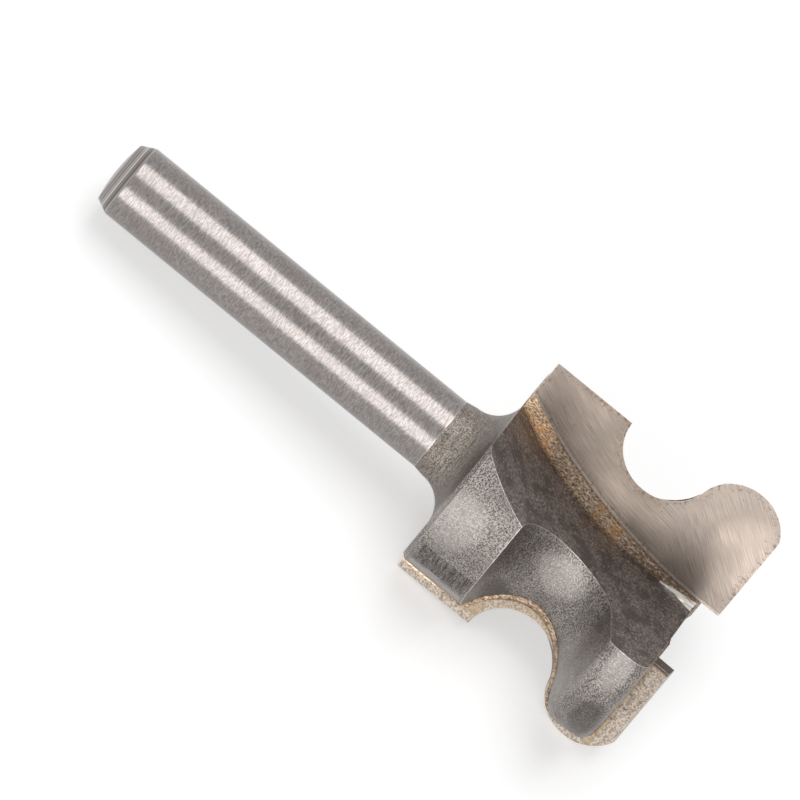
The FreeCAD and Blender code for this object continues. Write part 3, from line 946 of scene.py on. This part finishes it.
# Nothing stands past the steel's end in front of the tips' backs
def trimBraze(geometry):
    b = braze
    bmesh.ops.remove_doubles(geometry, verts=geometry.verts, dist=meshing["weld"])
    for vert in geometry.verts:
        if vert.co.z < b["trimHeight"] and abs(vert.co.y) < b["trimDepth"]:
            vert.co.z = b["trimHeight"]


def makeBraze(number, tree):
    source = frame["nodes"][f"braze_{number}"].data
    geometry = bmesh.new()
    geometry.from_mesh(source)
    geometry.transform(worldToBit)
    trimBraze(geometry)
    finishMesh(geometry, braze)
    mesh = bpy.data.meshes.new("brazeBlank")
    geometry.to_mesh(mesh)
    geometry.free()
    blank = objectOf("brazeBlank", mesh)
    addTree(blank, tree, {"Height": braze["lump"], "Size": braze["lumpSize"],
                          "Seed": float(braze["seed"] + number), "Material": brazeFinish})
    made = plainMesh(blank)
    made.transform(bitToWorld)
    print("braze", number, len(made.polygons), "triangles")
    piece = objectOf(f"brazeFillet{number}", made)
    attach(piece, "root")
    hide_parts(f"braze_{number}")
    return piece


shankSteel, blastedSteel, wallSteel = makeShankSteel(), makeBlastedSteel(), makeWallSteel()
rakeCarbide, flankCarbide, brazeFinish = makeRakeCarbide(), makeFlankCarbide(), makeBrazeFinish()
print("materials made")
makeSteelBody()
for number in (1, 2):
    makeTip(number)
castSkin = lumpTree()
for number in (1, 2):
    makeBraze(number, castSkin)


def cameraAxes():
    turn, roll = math.radians(view["turn"]), math.radians(view["roll"])
    out, behind, up = bitTurn.col
    aside = out * math.cos(turn) + behind * math.sin(turn)
    toCamera = out * math.sin(turn) - behind * math.cos(turn)
    along = -up
    right = along * math.cos(roll) + aside * math.sin(roll)
    upward = aside * math.cos(roll) - along * math.sin(roll)
    return right, upward, toCamera, aside, along


right, upward, toCamera, aside, along = cameraAxes()
middle = bitOrigin + bitTurn.col[2] * view["middleHeight"] * mm + aside * view["middleAside"] * mm


def lookFrom(holder, place, xWay, yWay, zWay):                # z points away from what is looked at
    turn = Matrix((xWay, yWay, zWay)).transposed()
    holder.matrix_world = Matrix.Translation(place) @ turn.to_4x4()


lens = bpy.data.cameras.new("photoCamera")
lens.sensor_width = view["sensor"]
lens.lens = view["sensor"] * view["distance"] / view["frameWidth"]
lens.clip_start, lens.clip_end = 0.05, 20.0
camera = objectOf("photoCamera", lens)
lookFrom(camera, middle + toCamera * view["distance"], right, upward, toCamera)
bpy.context.scene.camera = camera


lamps = {
    "over": {"angle": 43.5, "distance": 0.6, "width": 0.46, "length": 0.4, "radiance": 2.45},
    "front": {"angle": -43.0, "distance": 0.6, "width": 0.46, "length": 0.4, "radiance": 2.45},
    "surround": 0.36, "paper": 0.82, "paperGlow": 0.45,
}


def addLamp(name, sizes):
    angle = math.radians(sizes["angle"])
    way = toCamera * math.cos(angle) + aside * math.sin(angle)
    light = bpy.data.lights.new(name, "AREA")
    light.shape = "RECTANGLE"
    light.size, light.size_y = sizes["length"], sizes["width"]
    light.energy = sizes["radiance"] * math.pi * sizes["length"] * sizes["width"]
    lookFrom(objectOf(name, light), middle + way * sizes["distance"], along, way.cross(along), way)


addLamp("overLamp", lamps["over"])
addLamp("frontLamp", lamps["front"])

world = bpy.data.worlds.new("studioSurround")
world.use_nodes = True
world.node_tree.nodes.clear()
sky = Graph(world.node_tree)


def whiteSeen(graph):                                   # rays that should meet the white background
    kinds = [graph.node("ShaderNodeLightPath", None, None, f"Is {kind} Ray")
             for kind in ("Camera", "Glossy", "Transmission")]
    return graph.high(graph.high(kinds[0], kinds[1]), kinds[2])


dim = sky.node("ShaderNodeBackground", None, {"Color": (1, 1, 1, 1), "Strength": lamps["surround"]})
white = sky.node("ShaderNodeBackground", None, {"Color": (1, 1, 1, 1), "Strength": 1.0})
sky.node("ShaderNodeOutputWorld", None, {"Surface": sky.node("ShaderNodeMixShader", None, {
    0: whiteSeen(sky), 1: dim, 2: white})})
bpy.context.scene.world = world

floorMesh = bpy.data.meshes.new("paperFloor")
half = 1.5
floorMesh.from_pydata([(-half, -half, 0), (half, -half, 0), (half, half, 0), (-half, half, 0)],
                      [], [(0, 1, 2, 3)])
floor = objectOf("paperFloor", floorMesh)
paper, graph = newMaterial("whitePaper")
matt = graph.node("ShaderNodeBsdfPrincipled", None, {
    "Base Color": (lamps["paper"],) * 3 + (1,), "Roughness": 0.9, "Specular IOR Level": 0.2})
glow = graph.node("ShaderNodeEmission", None, {
    "Color": (1, 1, 1, 1), "Strength": lamps["paperGlow"]})
lifted = graph.node("ShaderNodeAddShader", None, {0: matt, 1: glow})
graph.node("ShaderNodeOutputMaterial", None, {"Surface": graph.node("ShaderNodeMixShader", None, {
    0: whiteSeen(graph), 1: matt, 2: lifted})})
floorMesh.materials.append(paper)

bpy.context.scene.view_settings.view_transform = "Standard"
print("camera, lamps and floor set")
